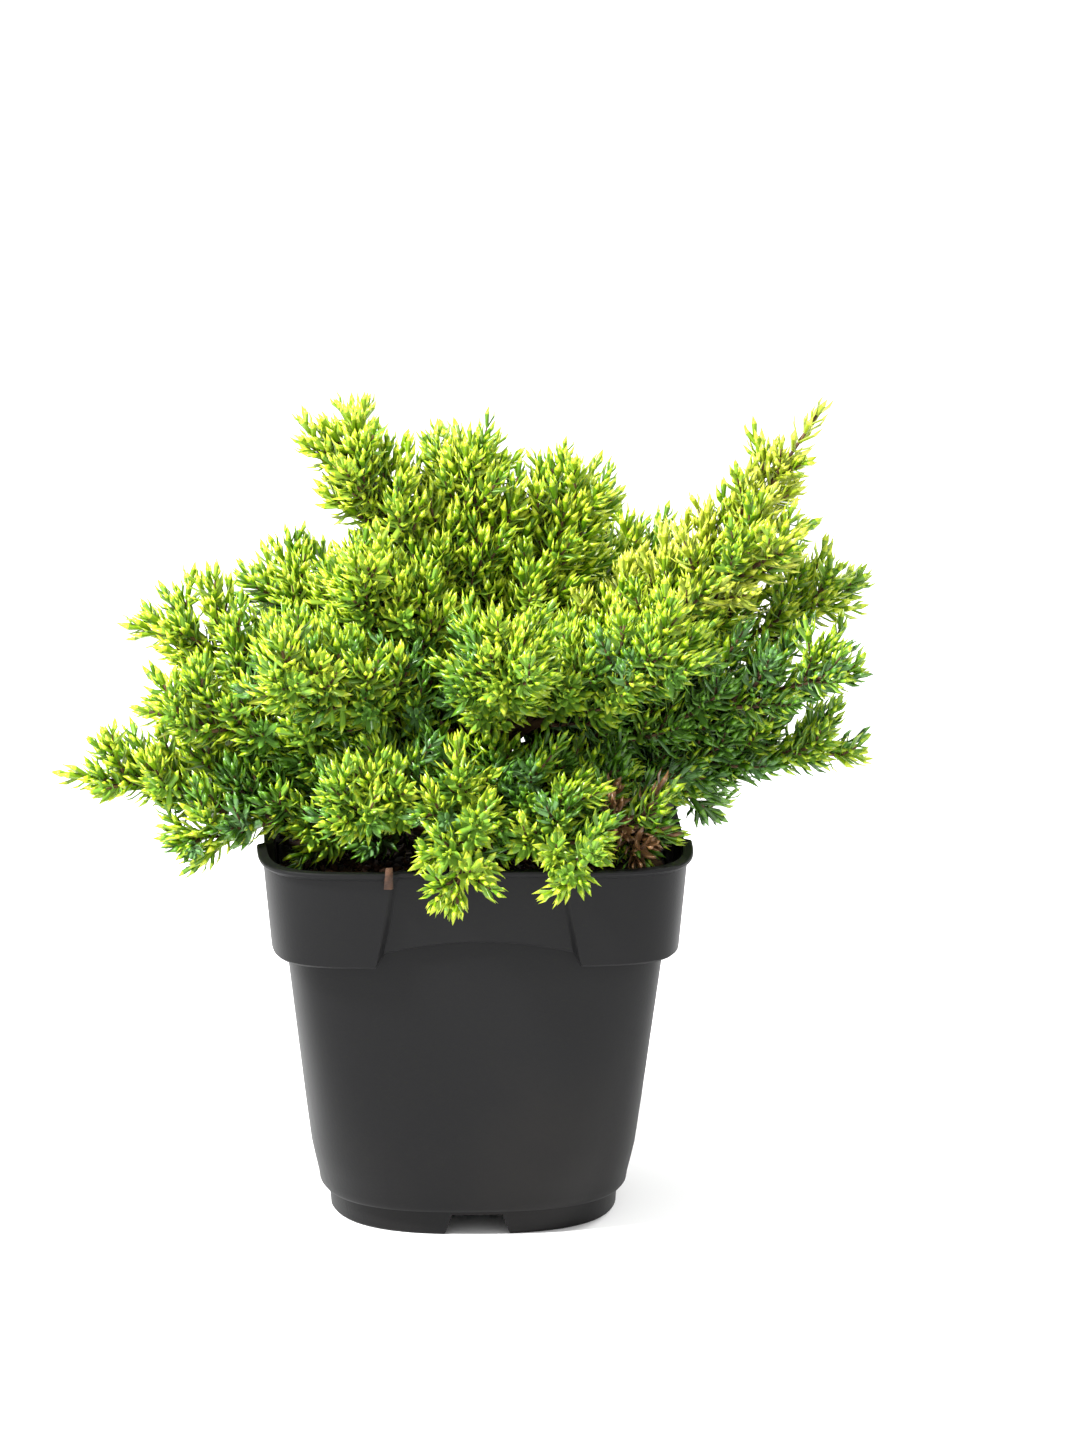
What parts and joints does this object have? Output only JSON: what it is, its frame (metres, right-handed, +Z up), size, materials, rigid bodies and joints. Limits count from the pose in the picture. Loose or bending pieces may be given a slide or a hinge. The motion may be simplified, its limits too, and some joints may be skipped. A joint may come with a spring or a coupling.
{
  "type": "potted dwarf juniper",
  "caption": "Low, spreading garden juniper with dense needled shoots, in a square-rimmed black plastic nursery pot filled with bark compost.",
  "frame": {"origin": "middle of the pot's underside, on the surface it stands on", "axes": "+X to the right of the pictured front, +Y to the back, +Z up"},
  "size_m": [0.2254, 0.1687, 0.22],
  "materials": {
    "pot_plastic": "matt, slightly dusty dark grey",
    "compost": "dark, crumbly bark compost",
    "bark": "rough, flaking brown bark",
    "foliage": "bright green needles, a little glossy"
  },
  "bodies": {
    "root": {"pot": "pot_plastic", "compost": "compost", "trunk": "bark", "bough_low_left": "bark", "foliage_low_left": "foliage", "bough_under_left": "bark", "foliage_under_left": "foliage", "bough_mid_left": "bark", "foliage_mid_left": "foliage", "bough_small_left": "bark", "foliage_small_left": "foliage", "bough_fore_left": "bark", "foliage_fore_left": "foliage", "bough_high_left": "bark", "foliage_high_left": "foliage", "foliage_top_left": "foliage", "foliage_top_mid": "foliage", "foliage_top_right": "foliage", "bough_spire": "bark", "foliage_spire": "foliage", "bough_upper_right": "bark", "foliage_upper_right": "foliage", "bough_high_right": "bark", "foliage_high_right": "foliage", "bough_mid_right": "bark", "foliage_mid_right": "foliage", "bough_low_right": "bark", "foliage_low_right": "foliage", "bough_under_right": "bark", "foliage_under_right": "foliage", "bough_fore_right": "bark", "foliage_fore_right": "foliage", "bough_shelf_right": "bark", "foliage_shelf_right": "foliage", "bough_drop_front_left": "bark", "foliage_drop_front_left": "foliage", "bough_drop_front_right": "bark", "foliage_drop_front_right": "foliage", "foliage_front_mid": "foliage", "bough_shelf_left": "bark", "foliage_shelf_left": "foliage", "foliage_inner_left": "foliage", "bough_high_back_right": "bark", "foliage_high_back_right": "foliage", "foliage_top_back": "foliage", "bough_back_left": "bark", "foliage_back_left": "foliage", "bough_back": "bark", "foliage_back": "foliage", "bough_back_right": "bark", "foliage_back_right": "foliage", "bough_low_back_left": "bark", "foliage_low_back_left": "foliage", "bough_low_back_right": "bark", "foliage_low_back_right": "foliage"}
  },
  "joints": []
}
